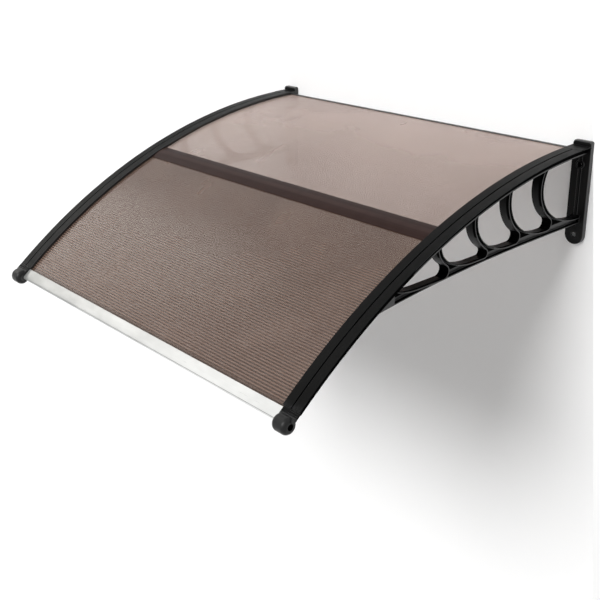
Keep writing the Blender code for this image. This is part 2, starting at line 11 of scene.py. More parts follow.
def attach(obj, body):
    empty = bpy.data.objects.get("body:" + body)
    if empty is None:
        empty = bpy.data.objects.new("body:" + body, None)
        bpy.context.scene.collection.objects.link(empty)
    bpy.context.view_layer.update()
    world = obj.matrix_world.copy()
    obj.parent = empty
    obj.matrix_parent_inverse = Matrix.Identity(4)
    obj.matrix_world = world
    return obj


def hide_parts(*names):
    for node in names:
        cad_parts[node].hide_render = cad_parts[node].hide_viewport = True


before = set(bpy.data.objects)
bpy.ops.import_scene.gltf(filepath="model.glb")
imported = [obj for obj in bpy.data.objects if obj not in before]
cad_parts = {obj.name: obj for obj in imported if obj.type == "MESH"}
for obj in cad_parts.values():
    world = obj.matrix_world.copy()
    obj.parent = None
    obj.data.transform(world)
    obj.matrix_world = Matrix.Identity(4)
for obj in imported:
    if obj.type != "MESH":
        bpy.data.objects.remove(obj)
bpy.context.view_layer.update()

# Sizes repeated from the part's source, in metres
overall_width = 1.000
bracket_width = 0.045
roof_radius = 1.400
rear_slope = math.radians(1.25)
fit_gap = 0.0003
plate_thickness = 0.012
plate_drop = 0.228
lip_height = 0.011
lip_corner_radius = 0.005
lip_round = 0.004
bolt_radius = 0.0055
upper_bolt_drop = 0.042
boss_radius = 0.010
boss_height = 0.004
tab_face_thickness = 0.004
tab_wall = 0.0035
plate_rib_width = 0.009
plate_rib_height = 0.003
rail_root = 0.0060
end_block_root = 0.0048
truss_root = 0.0036
sheet_thickness = 0.0055
sheet_drop = 0.0070
sheet_rear_travel = 0.008
sheet_front_reach = 0.0207
sheet_insertion = 0.014
flute_pitch = 0.006
joint_travel = 0.491
joiner_web = 0.002
ledge_thickness = 0.003
rail_wall_across = 0.0235
rail_inner_thickness = 0.0125
rail_top_thickness = 0.0032
rail_edge_round = 0.0012
rail_flange_reach = 0.0010
rail_length = 0.940
end_block_length = 0.038
end_block_rise = 0.0006
toe_length = 0.009
truss_depth = 0.024
truss_web = 0.008
truss_rim = 0.0025
chord_rim = 0.003
rib_thickness = 0.010
chord_drop = 0.176
chord_droop = 0.019
chord_droop_reach = 0.590
chord_depth_at_wall = 0.014
chord_depth_at_front = 0.008
floor_fillet = 0.006
pocket_reach = 0.070
openings = (
    (0.020, 0.148, 0.096, None),
    (0.150, 0.132, 0.096, 0.013),
    (0.280, 0.111, 0.078, 0.013),
    (0.400, 0.100, 0.057, 0.0085),
    (0.560, 0.088, 0.032, 0.013),
)
strip_wall = 0.0022
strip_roof = 0.0024
strip_groove = 0.0016
strip_chamfer = 0.0010
cap_barrel_radius = 0.0168
cap_barrel_reach = 0.0272
cap_barrel_drop = 0.0070
cap_barrel_edge = 0.0090
cap_inset = 0.0052
cap_tail_stop = 0.0072
cap_face_recess = 0.004
cap_face_rim = 0.0015
cap_tongue_length = 0.012
cap_tongue_height = 0.005
cap_tongue_inset = 0.0065
cap_ridges = 3
cap_ridge_pitch = 0.0048
cap_ridge_width = 0.0022
cap_ridge_height = 0.0008
cap_ridge_start = 0.0029
joiner_top_width = 0.049
joiner_bottom_width = 0.036
joiner_edge_thickness = 0.0015
joiner_crown = 0.0042
joiner_crown_width = 0.017
joiner_shoulder_rise = 0.62
trim_thickness = 0.0015
front_rail_lip = 0.019
rear_strip_lip = 0.006
rear_strip_wall = 0.002
screw_shank_radius = 0.00175
screw_head_radius = 0.0040
screw_head_height = 0.0024
screw_length = 0.0115
screw_face_radius = 0.0028
screw_edge_height = 0.0010
screw_tip_length = 0.0028
screw_slot_width = 0.0009
screw_slot_depth = 0.0010
screw_slot_reach = 0.0024
front_screw_inset = 0.080

half_width = overall_width / 2
inner_face = half_width - bracket_width
arc_centre_y = -plate_thickness + roof_radius * math.sin(rear_slope)
arc_centre_z = -roof_radius * math.cos(rear_slope)
sheet_top = -sheet_drop
sheet_bottom = sheet_top - sheet_thickness
clamp_height = sheet_top + fit_gap
ledge_top = sheet_bottom - fit_gap
ledge_bottom = ledge_top - ledge_thickness
rail_inner_across = rail_wall_across + rail_inner_thickness
rail_flange_across = rail_inner_across + rail_flange_reach
cap_tongue_across = bracket_width - cap_tongue_inset
truss_low = inner_face + (bracket_width - truss_depth) / 2
truss_high = truss_low + truss_depth
plate_middle = half_width - bracket_width / 2
tab_radius = bracket_width / 2
tab_z = -plate_drop + tab_radius
screw_across = (sheet_insertion + 2 * fit_gap + rail_wall_across - strip_groove) / 2
screw_hole_radius = screw_shank_radius + fit_gap
cap_travel = rail_length + fit_gap
cap_barrel_travel = cap_travel + cap_barrel_reach
cap_tail_end = cap_barrel_travel - cap_tail_stop
sheet_front_travel = cap_travel + sheet_front_reach
front_screw_travel = rail_length - front_screw_inset
cap_screw_travel = rail_length + toe_length / 2
cap_half_length = bracket_width / 2 - cap_inset
cap_face_radius = cap_barrel_radius - cap_barrel_edge - cap_face_rim
screw_hole_top = ledge_bottom - fit_gap + screw_length + 3 * fit_gap
ledge_middle = ledge_bottom + ledge_thickness / 2
trim_half_length = inner_face - fit_gap
front_rail_half_length = inner_face + cap_inset - fit_gap

# Shapes of the visible pieces that the plainer solids leave out
edge_round = 0.0006
web_fillet = 0.0010
small_round = 0.0003
chord_round = 0.0022
rib_fillet = 0.0030
rib_pocket_lift = 0.0022
rib_pocket_step = 0.00003
painted_shade_margin = 0.0065
groove_angle = math.radians(60)
groove_half_angle = math.radians(10)
groove_depth = 0.0006
groove_flat_share = 0.6

# Fineness of the visible pieces
roof_steps = 80
corner_steps = 4
lip_steps = 14
arc_steps = 48
curve_steps = 60
chord_steps = 90
opening_steps = 44
lobe_steps = 16
rib_steps = 24
straight_corner = math.radians(165)
longest_round = 0.45

# Regions of the black mouldings: one black plastic in five copies that differ in gloss and darkness, the paler glossy
# side copy as painted light and the darkest dull core copy as painted shade
painted_light_side, grained_top, painted_shade_core, satin_face, cap_barrel = range(5)
rim_end_angle = math.radians(62)
painted_shade_edge_travel = 0.600
painted_light_edge_share = 0.6
painted_shade_wall_share = 0.7
near = small_round / 3


# Places

def on_roof(travel, height):
    angle = rear_slope + travel / roof_radius
    radius = roof_radius + height
    return (arc_centre_y - radius * math.sin(angle), arc_centre_z + radius * math.cos(angle))


def roof_height_at(y, height):
    radius = roof_radius + height
    return arc_centre_z + math.sqrt(radius ** 2 - (y - arc_centre_y) ** 2)


def travel_at(y):
    return (math.asin((arc_centre_y - y) / roof_radius) - rear_slope) * roof_radius


def place_on_roof(y, z):
    """The travel along the roof and the height over it; the reverse of on_roof."""
    forward, upward = arc_centre_y - y, z - arc_centre_z
    return (math.atan2(forward, upward) - rear_slope) * roof_radius, math.hypot(forward, upward) - roof_radius


def steps(start, end, count):
    return [start + (end - start) * i / count for i in range(count + 1)]


quarter_turn = steps(0.0, math.pi / 2, corner_steps)


def solve(function, low, high):
    for _ in range(60):
        middle = (low + high) / 2
        if function(middle) > 0:
            low = middle
        else:
            high = middle
    return (low + high) / 2


def circle_point(x, y, radius, angle):
    return x + radius * math.cos(angle), y + radius * math.sin(angle)


def whole_turn(segments):
    return [2 * math.pi * i / segments for i in range(segments)]


# Meshes

def make_object(name, data):
    item = bpy.data.objects.new(name, data)
    bpy.context.scene.collection.objects.link(item)
    return item


def mesh_from(name, points, faces):
    mesh = bpy.data.meshes.new(name)
    mesh.from_pydata([[round(value, 7) for value in point] for point in points], [], faces)
    form = bmesh.new()
    form.from_mesh(mesh)
    bmesh.ops.recalc_face_normals(form, faces=form.faces)
    form.to_mesh(mesh)
    form.free()
    return make_object(name, mesh)


def rings_to_solid(name, rings):
    size = len(rings[0])
    points = [point for ring in rings for point in ring]
    faces = [list(range(size)), list(range(len(points) - size, len(points)))]
    for base in range(0, len(points) - size, size):
        for i in range(size):
            j = (i + 1) % size
            faces.append([base + i, base + j, base + size + j, base + size + i])
    return mesh_from(name, points, faces)


def rounded(outline, usual, count=corner_steps):
    """The outline with each corner turned into a small arc; a third number is a corner's own radius."""
    result = []
    size = len(outline)
    for i in range(size):
        radius = outline[i][2] if len(outline[i]) > 2 else usual
        corner = Vector(outline[i][:2])
        before = Vector(outline[i - 1][:2]) - corner
        after = Vector(outline[(i + 1) % size][:2]) - corner
        opening = before.angle(after)
        if opening > straight_corner:
            result.append(tuple(corner))
            continue
        half = math.tan(opening / 2)
        reach = min(radius / half, longest_round * min(before.length, after.length))
        middle = before.normalized() + after.normalized()
        centre = corner + middle.normalized() * (reach * half / math.sin(opening / 2))
        first = corner + before.normalized() * reach - centre
        sweep = math.copysign(math.pi - opening, -before.cross(after))
        for angle in steps(0.0, sweep, count):
            cosine, sine = math.cos(angle), math.sin(angle)
            result.append((centre.x + first.x * cosine - first.y * sine,
                           centre.y + first.x * sine + first.y * cosine))
    return result


def offset_outline(outline, distance):
    """The outline moved outward by distance; it runs anticlockwise with y to the right, z up."""
    moved = []
    for i, (y, z) in enumerate(outline):
        before = outline[i - 1]
        after = outline[(i + 1) % len(outline)]
        run_y, run_z = after[0] - before[0], after[1] - before[1]
        size = math.hypot(run_y, run_z)
        moved.append((y + distance * run_z / size, z - distance * run_y / size))
    return moved


def loft_across(name, outline, stations):
    """A side-view outline carried across through (x, offset) stations, moved outward by each offset."""
    return rings_to_solid(name, [[(x, y, z) for y, z in offset_outline(outline, offset)] for x, offset in stations])


def convex(face, direction, offset, radius):
    """Stations of a rounded outer edge, from the face inward, for material inside offset."""
    return [(face + direction * radius * (1 - math.cos(a)), offset - radius + radius * math.sin(a))
            for a in quarter_turn]


def concave(floor, direction, offset, radius):
    """Stations of a fillet that runs out onto a floor, from the wall to the floor."""
    return [(floor - direction * radius * (1 - math.sin(a)), offset + radius - radius * math.cos(a))
            for a in quarter_turn]


def inward(stations):
    return [(face, -offset) for face, offset in stations]


def roof_outline(profile):
    return [on_roof(travel, height) for travel, height in profile]


def rectangle(low, high, foot, top):
    return [(low, foot), (low, top), (high, top), (high, foot)]


def sweep_along_roof(name, section, start, end, count):
    return rings_to_solid(name, [[(inner_face + across, *on_roof(travel, height)) for across, height in section]
                                 for travel in steps(start, end, count)])


def turn(name, profile, segments):
    points = [(0.0, 0.0, profile[0][1])]
    faces = []
    for radius, z in profile[1:-1]:
        points += [(*circle_point(0.0, 0.0, radius, angle), z) for angle in whole_turn(segments)]
    points.append((0.0, 0.0, profile[-1][1]))
    last = len(points) - 1
    top = last - segments
    for i in range(segments):
        j = (i + 1) % segments
        faces.append([0, 1 + j, 1 + i])
        for low in range(1, top, segments):
            high = low + segments
            faces.append([low + i, low + j, high + j, high + i])
        faces.append([top + i, top + j, last])
    return mesh_from(name, points, faces)


def combine(target, tool, operation):
    modifier = target.modifiers.new(operation.lower(), "BOOLEAN")
    modifier.operation = operation
    modifier.solver = "EXACT"
    modifier.object = tool
    graph = bpy.context.evaluated_depsgraph_get()
    result = bpy.data.meshes.new_from_object(target.evaluated_get(graph))
    target.modifiers.clear()
    old = target.data
    target.data = result
    bpy.data.meshes.remove(old)
    bpy.data.objects.remove(tool, do_unlink=True)


join = functools.partial(combine, operation="UNION")
cut = functools.partial(combine, operation="DIFFERENCE")
mirror = Matrix.Scale(-1, 4, Vector((1, 0, 0)))


def mirrored(item, name):
    mesh = item.data.copy()
    mesh.transform(mirror)
    mesh.flip_normals()
    return make_object(name, mesh)


def shade(item, smooth_angle=36.0):
    """Cleans the mesh and shades its rounds smooth, its flat faces flat."""
    form = bmesh.new()
    form.from_mesh(item.data)
    bmesh.ops.remove_doubles(form, verts=form.verts, dist=2e-6)
    bmesh.ops.dissolve_degenerate(form, edges=form.edges, dist=2e-6)
    form.to_mesh(item.data)
    form.free()
    item.data.shade_smooth()
    item.data.set_sharp_from_angle(angle=math.radians(smooth_angle))
    return item


def place(item, node, materials, region=None):
    """Gives a piece its materials, lets it stand for its CAD node and ride on the root."""
    modifier = item.modifiers.new("normals", "WEIGHTED_NORMAL")
    modifier.mode = "FACE_AREA"
    modifier.weight = 50
    modifier.keep_sharp = True
    item.data.materials.clear()
    for material in materials:
        item.data.materials.append(material)
    if region:
        for face in item.data.polygons:
            face.material_index = region(face.center, face.normal)
    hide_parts(node)
    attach(item, "root")


# Bracket

def chord_underside(y):
    return -chord_drop - chord_droop * (-y / chord_droop_reach) ** 3


def chord_depth(y):
    share = min(-y / chord_droop_reach, 1.0)
    return chord_depth_at_wall + (chord_depth_at_front - chord_depth_at_wall) * share


def opening_ellipse(index):
    distance, half_length, half_height, _ = openings[index]
    floor = chord_underside(-distance) + chord_depth(-distance)
    return (-distance, floor + half_height, half_length, half_height)


def ellipse_point(ellipse, angle, offset=0.0):
    centre_y, centre_z, half_length, half_height = ellipse
    cosine, sine = math.cos(angle), math.sin(angle)
    run_y, run_z = cosine / half_length, sine / half_height
    size = math.hypot(run_y, run_z)
    return (centre_y - half_length * cosine - offset * run_y / size,
            centre_z - half_height * sine - offset * run_z / size)


def top_angle(ellipse, offset=0.0):
    clearance = ledge_thickness + truss_rim

    def below(angle):
        y, z = ellipse_point(ellipse, -angle, offset)
        return roof_height_at(y, ledge_bottom) + clearance - z

    if below(0.0) < 0:
        return 0.0
    return -solve(below, 0.0, math.radians(80))


@functools.cache
def lobe_place(index):
    """The centre of the round lobe between an opening's floor and the rib behind it, and its angle on that rib."""
    _, centre_z, _, half_height = opening_ellipse(index)
    neighbour = opening_ellipse(index - 1)
    lobe = openings[index][3]
    reach = rib_thickness + lobe

    def height(angle):
        return ellipse_point(neighbour, angle, reach)[1] - (centre_z - half_height + lobe)

    touch = solve(height, 0.0, math.pi / 2)
    return *ellipse_point(neighbour, touch, reach), touch


def opening_outline(index):
    ellipse = opening_ellipse(index)
    outline = [ellipse_point(ellipse, angle) for angle in steps(top_angle(ellipse), math.pi / 2, opening_steps)]
    if index == 0:
        floor, corner, inside_plate = outline[-1][1], -plate_thickness - floor_fillet, -plate_thickness / 2
        outline.append((corner, floor))
        outline += [circle_point(corner, floor + floor_fillet, floor_fillet, angle)
                    for angle in steps(math.radians(-75), 0.0, 7)]
        return outline + [(inside_plate, floor + floor_fillet * 1.5),
                          (inside_plate, roof_height_at(inside_plate, ledge_top))]
    lobe = openings[index][3]
    neighbour = opening_ellipse(index - 1)
    centre_y, centre_z, touch = lobe_place(index)
    meet_y, meet_z = ellipse_point(neighbour, touch, rib_thickness)
    end = math.atan2(meet_z - centre_z, meet_y - centre_y)
    outline += [circle_point(centre_y, centre_z, lobe, angle) for angle in steps(-math.pi / 2, end, lobe_steps)]
    return outline + [ellipse_point(neighbour, angle, rib_thickness)
                      for angle in steps(touch, top_angle(neighbour, rib_thickness), rib_steps)[1:]]


def truss_front():
    def room(distance):
        return roof_height_at(-distance, ledge_middle) - chord_underside(-distance)

    return -solve(room, plate_thickness, -on_roof(rail_length, 0.0)[0])


def lower_curve(start, end, lift, count):
    return [(y, chord_underside(y) + lift) for y in steps(start, end, count)]


def upper_curve(start, end, height, count):
    return [(y, roof_height_at(y, height)) for y in steps(start, end, count)]


def build_truss():
    """The pierced truss, with rounded edges on its rims and fillets where they meet the web."""
    root = -truss_root
    front = truss_front()
    stations = convex(truss_low, 1, 0.0, chord_round) + convex(truss_high, -1, 0.0, chord_round)[::-1]
    rings = []
    for x, offset in stations:
        ring = []
        for y, z in lower_curve(root, front, 0.0, chord_steps)[:-1]:
            room = roof_height_at(y, ledge_middle) - z
            ring.append((x, y, z - offset * min(1.0, room / (4 * chord_round))))
        rings.append(ring + [(x, y, z) for y, z in upper_curve(front, root, ledge_middle, chord_steps)])
    truss = rings_to_solid("truss", rings)
    outlines = [opening_outline(i) for i in range(len(openings))]

    pocket_front = opening_ellipse(len(openings) - 1)[0] - pocket_reach
    pocket_rear = -plate_thickness - truss_rim
    pocket_top = ledge_bottom - truss_rim / 2
    pocket = lower_curve(pocket_rear, pocket_front, chord_rim, curve_steps)
    pocket += upper_curve(pocket_front, pocket_rear, pocket_top, curve_steps)
    ribs = [(y, z + chord_depth(y) - chord_rim) for y, z
            in lower_curve(pocket_rear, pocket_front, chord_rim + rib_pocket_lift, curve_steps)]
    ribs += upper_curve(pocket_front, pocket_rear, pocket_top - web_fillet, curve_steps)
    past = truss_depth
    web_low = inner_face + (bracket_width - truss_web) / 2
    web_high = web_low + truss_web
    for face, web, direction in ((truss_low, web_low, 1), (truss_high, web_high, -1)):
        recess = loft_across("recess", pocket[::-1], [
            (face - direction * past, edge_round),
            *inward(convex(face, direction, 0.0, edge_round) + concave(web, direction, 0.0, web_fillet))])
        join(recess, loft_across("ribs", ribs[::-1], [
            (web - direction * web_fillet, 0.0), (web + direction * rib_pocket_step, 0.0)]))
        rims = [(face - direction * 2 * past, truss_rim - edge_round),
                *convex(face, direction, truss_rim, edge_round), *concave(web, direction, truss_rim, web_fillet),
                (web + direction * past, truss_rim + web_fillet)]
        for edge in outlines:
            cut(recess, loft_across("rim", edge, rims))
        cut(truss, recess)
    walls = [(truss_low - past, edge_round), *inward(convex(truss_low, 1, 0.0, edge_round)),
             (truss_low + painted_shade_margin, 0.0), (truss_high - painted_shade_margin, 0.0),
             *inward(convex(truss_high, -1, 0.0, edge_round)[::-1]), (truss_high + past, edge_round)]
    for edge in outlines:
        cut(truss, loft_across("opening", edge, walls))
    return truss


def plate_outline(top):
    corner = lip_corner_radius
    outline = [circle_point(plate_middle, tab_z, tab_radius, angle)
               for angle in steps(math.pi, 2 * math.pi, arc_steps)]
    for x, start in ((half_width - corner, 0.0), (inner_face + corner, math.pi / 2)):
        outline += [circle_point(x, top - corner, corner, angle)
                    for angle in steps(start, start + math.pi / 2, 10)]
    return outline


def peg(name, x, z, stations, segments=64):
    """A round bar along Y through (y, radius) stations."""
    rings = []
    for y, radius in stations:
        circle = [circle_point(x, z, radius, angle) for angle in whole_turn(segments)]
        rings.append([(across, y, height) for across, height in circle])
    return rings_to_solid(name, rings)


def build_plate():
    """The wall plate: a round-topped lip, softened sides, a filleted rib, one boss and a hollow tab."""
    face = -plate_thickness
    side_round = 2 * edge_round
    rings = []
    for angle in steps(math.pi / 2, 0.0, lip_steps):
        depth = lip_round * (1 - math.sin(angle))
        left = max(side_round - depth, 0.0)
        offset = math.sqrt(side_round ** 2 - left ** 2) - side_round
        top = lip_height - lip_round * (1 - math.cos(angle)) - offset
        rings.append([(x, face + depth, z) for x, z in offset_outline(plate_outline(top), offset)])
    rings.append([(x, 0.0, z) for x, z in plate_outline(lip_height)])
    plate = rings_to_solid("plate", rings)

    inside = face / 2
    rib_foot = chord_underside(face) + chord_depth(face) / 2
    half_rib = plate_rib_width / 2
    crest = face - plate_rib_height
    skirt = face + small_round / 10
    reach = half_rib + plate_rib_height
    rib = rounded([(-reach, inside), (reach, inside), (reach, skirt), (half_rib, skirt, rib_fillet),
                   (half_rib / 2, crest, rib_fillet), (-half_rib / 2, crest, rib_fillet),
                   (-half_rib, skirt, rib_fillet), (-reach, skirt)], small_round, 6)
    join(plate, rings_to_solid("plate_rib", [[(plate_middle + x, y, z) for x, y in rib]
                                             for z in (rib_foot, ledge_top)]))
    stations = convex(face - boss_height, 1, boss_radius, edge_round)
    stations += concave(skirt, 1, boss_radius, web_fillet)
    join(plate, peg("boss", plate_middle, -upper_bolt_drop, stations + [(inside, boss_radius + web_fillet)]))

    floor = face + tab_face_thickness
    radius = tab_radius - tab_wall
    stations = inward(concave(floor, -1, -radius, web_fillet))[::-1]
    stations += [(-edge_round, radius), (0.0, radius + edge_round), (plate_thickness, radius + edge_round)]
    cut(plate, peg("tab_pocket", plate_middle, tab_z, stations))
    return plate


def rail_section():
    return rounded([
        (0.0, ledge_bottom), (0.0, ledge_top),
        (rail_wall_across, ledge_top), (rail_wall_across, -strip_chamfer),
        (rail_wall_across + strip_chamfer / 2, 0.0), (bracket_width, 0.0, rail_edge_round),
        (bracket_width, -rail_top_thickness), (rail_inner_across, -rail_top_thickness),
        (rail_inner_across, ledge_top), (rail_flange_across, ledge_top), (rail_flange_across, ledge_bottom),
    ], small_round)


def end_block_section():
    inner = sheet_insertion + fit_gap
    foot, sill = ledge_top - ledge_thickness / 4, -rail_top_thickness / 2
    wall, outer = rail_wall_across + strip_chamfer, bracket_width - strip_chamfer / 2
    return rounded([(0.0, end_block_rise), (0.0, clamp_height), (inner, clamp_height), (inner, foot),
                    (wall, foot), (wall, sill), (outer, sill), (outer, end_block_rise)], small_round)


def screw_travels():
    travels = []
    for index in range(len(openings)):
        outline = opening_outline(index)
        rear = outline[-1][0] if index else -plate_thickness
        travels.append(travel_at((outline[0][0] + rear) / 2))
    return travels + [front_screw_travel]


def screw_frame(travel, height):
    y, z = on_roof(travel, height)
    angle = rear_slope + travel / roof_radius
    return Matrix.Translation((inner_face + screw_across, y, z)) @ Matrix.Rotation(angle, 4, "X")


def screw_hole(travel, low, high):
    hole = turn("screw_hole", [(0, low), (screw_hole_radius, low), (screw_hole_radius, high), (0, high)], 24)
    hole.data.transform(screw_frame(travel, 0.0))
    return hole


def build_bracket():
    bracket = build_plate()
    join(bracket, sweep_along_roof("rail", rail_section(), -rail_root, rail_length, roof_steps))
    join(bracket, sweep_along_roof("end_block", end_block_section(), -end_block_root, end_block_length, 6))
    toe = rectangle(sheet_insertion + 2 * fit_gap, rail_inner_across - ledge_thickness,
                    ledge_bottom + fit_gap / 2, ledge_top - fit_gap / 2)
    join(bracket, sweep_along_roof("toe", toe, rail_length - toe_length, rail_length + toe_length, 3))
    join(bracket, build_truss())
    for z, face in ((-upper_bolt_drop, -plate_thickness - boss_height), (tab_z, -plate_thickness)):
        cut(bracket, peg("bolt_hole", plate_middle, z, [
            (-3 * plate_thickness, bolt_radius + edge_round), (face, bolt_radius + edge_round),
            (face + edge_round, bolt_radius), (plate_thickness, bolt_radius)]))
    for travel in (*screw_travels(), cap_screw_travel):
        cut(bracket, screw_hole(travel, ledge_bottom - ledge_thickness, ledge_top + ledge_thickness))
    return bracket


# Press strip and end cap

def strip_section():
    outer = rail_wall_across - strip_groove
    foot_inner = sheet_insertion + 2 * fit_gap
    foot = ledge_top + fit_gap
    return rounded([
        (0.0, -strip_chamfer), (0.0, clamp_height), (strip_wall, clamp_height), (strip_wall, -strip_roof),
        (foot_inner - strip_wall, -strip_roof), (foot_inner - strip_wall, clamp_height),
        (foot_inner, clamp_height), (foot_inner, foot), (outer, foot), (outer, -strip_chamfer),
        (outer - strip_chamfer, 0.0), (strip_chamfer, 0.0),
    ], small_round)


def build_press_strip():
    strip = sweep_along_roof("strip", strip_section(), end_block_length + fit_gap, rail_length, roof_steps)
    for travel in screw_travels():
        cut(strip, screw_hole(travel, ledge_bottom, screw_hole_top))
    return strip


def build_end_cap():
    """A barrel across the bracket's front end, with a tail over the ledge's toe and a tongue in the rail."""
    tail_foot = ledge_top + fit_gap
    tail = rounded([
        (cap_inset, tail_foot), (cap_inset, 0.0), (bracket_width, 0.0, edge_round),
        (bracket_width, -rail_top_thickness), (cap_tongue_across, -rail_top_thickness),
        (cap_tongue_across, tail_foot),
    ], small_round)
    cap = sweep_along_roof("cap", tail, cap_travel, cap_tail_end, 6)

    for i in range(cap_ridges):
        middle = cap_travel + cap_ridge_start + i * cap_ridge_pitch
        half_ridge = cap_ridge_width / 2
        low, high, slope = middle - half_ridge, middle + half_ridge, half_ridge / 2
        ridge = [(low, -slope), (high, -slope), (high - slope, cap_ridge_height), (low + slope, cap_ridge_height)]
        join(cap, loft_across("ridge", roof_outline(rounded(ridge, small_round)),
                              [(inner_face + rail_wall_across, 0.0), (half_width - half_ridge, 0.0)]))

    profile = [(0, -cap_half_length)]
    for angle in steps(-math.pi / 2, 0.0, lip_steps):
        profile.append((cap_barrel_radius - cap_barrel_edge * (1 - math.cos(angle)),
                        cap_barrel_edge * (1 + math.sin(angle)) - cap_half_length))
    profile += [(radius, -z) for radius, z in reversed(profile)]
    barrel = turn("barrel", profile, 72)
    floor, rim, past = cap_half_length - cap_face_recess, cap_face_radius + small_round, cap_half_length + cap_inset
    cut(barrel, turn("face_recess", [
        (0, floor), (cap_face_radius - small_round, floor), (cap_face_radius, floor + small_round),
        (cap_face_radius, cap_half_length - small_round), (rim, cap_half_length), (rim, past), (0, past)], 48))
    y, z = on_roof(cap_barrel_travel, -cap_barrel_drop)
    barrel.data.transform(Matrix.Translation((plate_middle, y, z)) @ Matrix.Rotation(math.pi / 2, 4, "Y"))
    join(cap, barrel)

    tongue_top = -rail_top_thickness - fit_gap
    tongue = rectangle(rail_inner_across + fit_gap, cap_tongue_across - fit_gap,
                       tongue_top - cap_tongue_height, tongue_top)
    join(cap, sweep_along_roof("tongue", tongue, cap_travel - cap_tongue_length,
                               cap_travel + cap_ridge_width, 4))
    inner = sheet_insertion + fit_gap
    notch = rectangle(-inner, inner, tail_foot - inner, clamp_height)
    cut(cap, sweep_along_roof("sheet_notch", notch, cap_travel - inner, sheet_front_travel + fit_gap, 4))
    cut(cap, screw_hole(cap_screw_travel, ledge_bottom, screw_hole_top))
    return cap


# Trim

def build_trim(name, profile, half_length):
    """A profile of (travel, height) points, carried across the canopy."""
    outline = roof_outline(profile)
    return rings_to_solid(name, [[(x, y, z) for y, z in outline] for x in steps(-half_length, half_length, 8)])


def joiner_profile():
    top, foot = joiner_top_width / 2, joiner_bottom_width / 2
    web = joiner_web / 2
    edge = clamp_height + joiner_edge_thickness
    crown = clamp_height + joiner_crown
    half_crown = joiner_crown_width / 2
    shoulder = (top + half_crown) / 2
    shoulder_height = edge + (crown - edge) * joiner_shoulder_rise
    right = [(web, ledge_top), (web, clamp_height), (top, clamp_height), (top, edge - joiner_edge_thickness / 3),
             (top - joiner_edge_thickness / 2, edge), (shoulder, shoulder_height),
             (half_crown, crown - joiner_edge_thickness / 4), (half_crown / 2, crown)]
    right = [(foot, ledge_top - trim_thickness), (foot, ledge_top)] + right
    left = [(-offset, height) for offset, height in reversed(right)]
    profile = [(joint_travel + offset, height) for offset, height in right + left]
    return rounded(profile, small_round)


def front_rail_profile():
    outer_top = clamp_height + trim_thickness
    outer_foot = ledge_top - trim_thickness
    radius = (outer_top - outer_foot) / 2
    slot_end = sheet_front_travel + fit_gap
    centre = slot_end + trim_thickness * 2
    middle = (outer_top + outer_foot) / 2
    rear = sheet_front_travel - front_rail_lip
    lip = small_round
    profile = [(slot_end, clamp_height), (rear, clamp_height), (rear, outer_top - lip), (rear + lip, outer_top)]
    profile += [(travel, outer_top) for travel in steps(rear + lip, centre, 6)[1:-1]]
    for angle in steps(math.pi / 2, -math.pi / 2, arc_steps):
        away = abs(angle - groove_angle) / groove_half_angle
        reach = radius - (groove_depth if away < groove_flat_share else 0.0)
        profile.append(circle_point(centre, middle, reach, angle))
    profile += [(rear + lip, outer_foot), (rear, outer_foot + lip), (rear, ledge_top), (slot_end, ledge_top)]
    return profile


def rear_strip_profile():
    slot_end = sheet_rear_travel - fit_gap
    rear = slot_end - rear_strip_wall
    front = sheet_rear_travel + rear_strip_lip
    top, foot = clamp_height + trim_thickness, ledge_top - trim_thickness
    return rounded([(slot_end, clamp_height), (front, clamp_height), (front, top), (rear, top),
                    (rear, foot), (front, foot), (front, ledge_top), (slot_end, ledge_top)], small_round)


# Screws

def build_screw():
    """A pan-head screw with a cross slot, its seat at z = 0 and its tip up."""
    foot = -screw_head_height
    profile = [(0, foot), (screw_face_radius - small_round, foot)]
    for angle in steps(0.0, math.pi / 2, 5):
        profile.append((screw_face_radius + (screw_head_radius - screw_face_radius) * math.sin(angle),
                        -screw_edge_height + (foot + screw_edge_height) * math.cos(angle)))
    profile += [(screw_head_radius, 0), (screw_shank_radius, 0),
                (screw_shank_radius, screw_length - screw_tip_length), (0, screw_length)]
    screw = turn("screw", profile, 32)
    half_slot = screw_slot_width / 2
    for x, y in ((screw_slot_reach, half_slot), (half_slot, screw_slot_reach)):
        cut(screw, rings_to_solid("slot", [[(-x, -y, z), (x, -y, z), (x, y, z), (-x, y, z)]
                                           for z in (foot - screw_slot_depth, foot + screw_slot_depth)]))
    return screw


# Materials

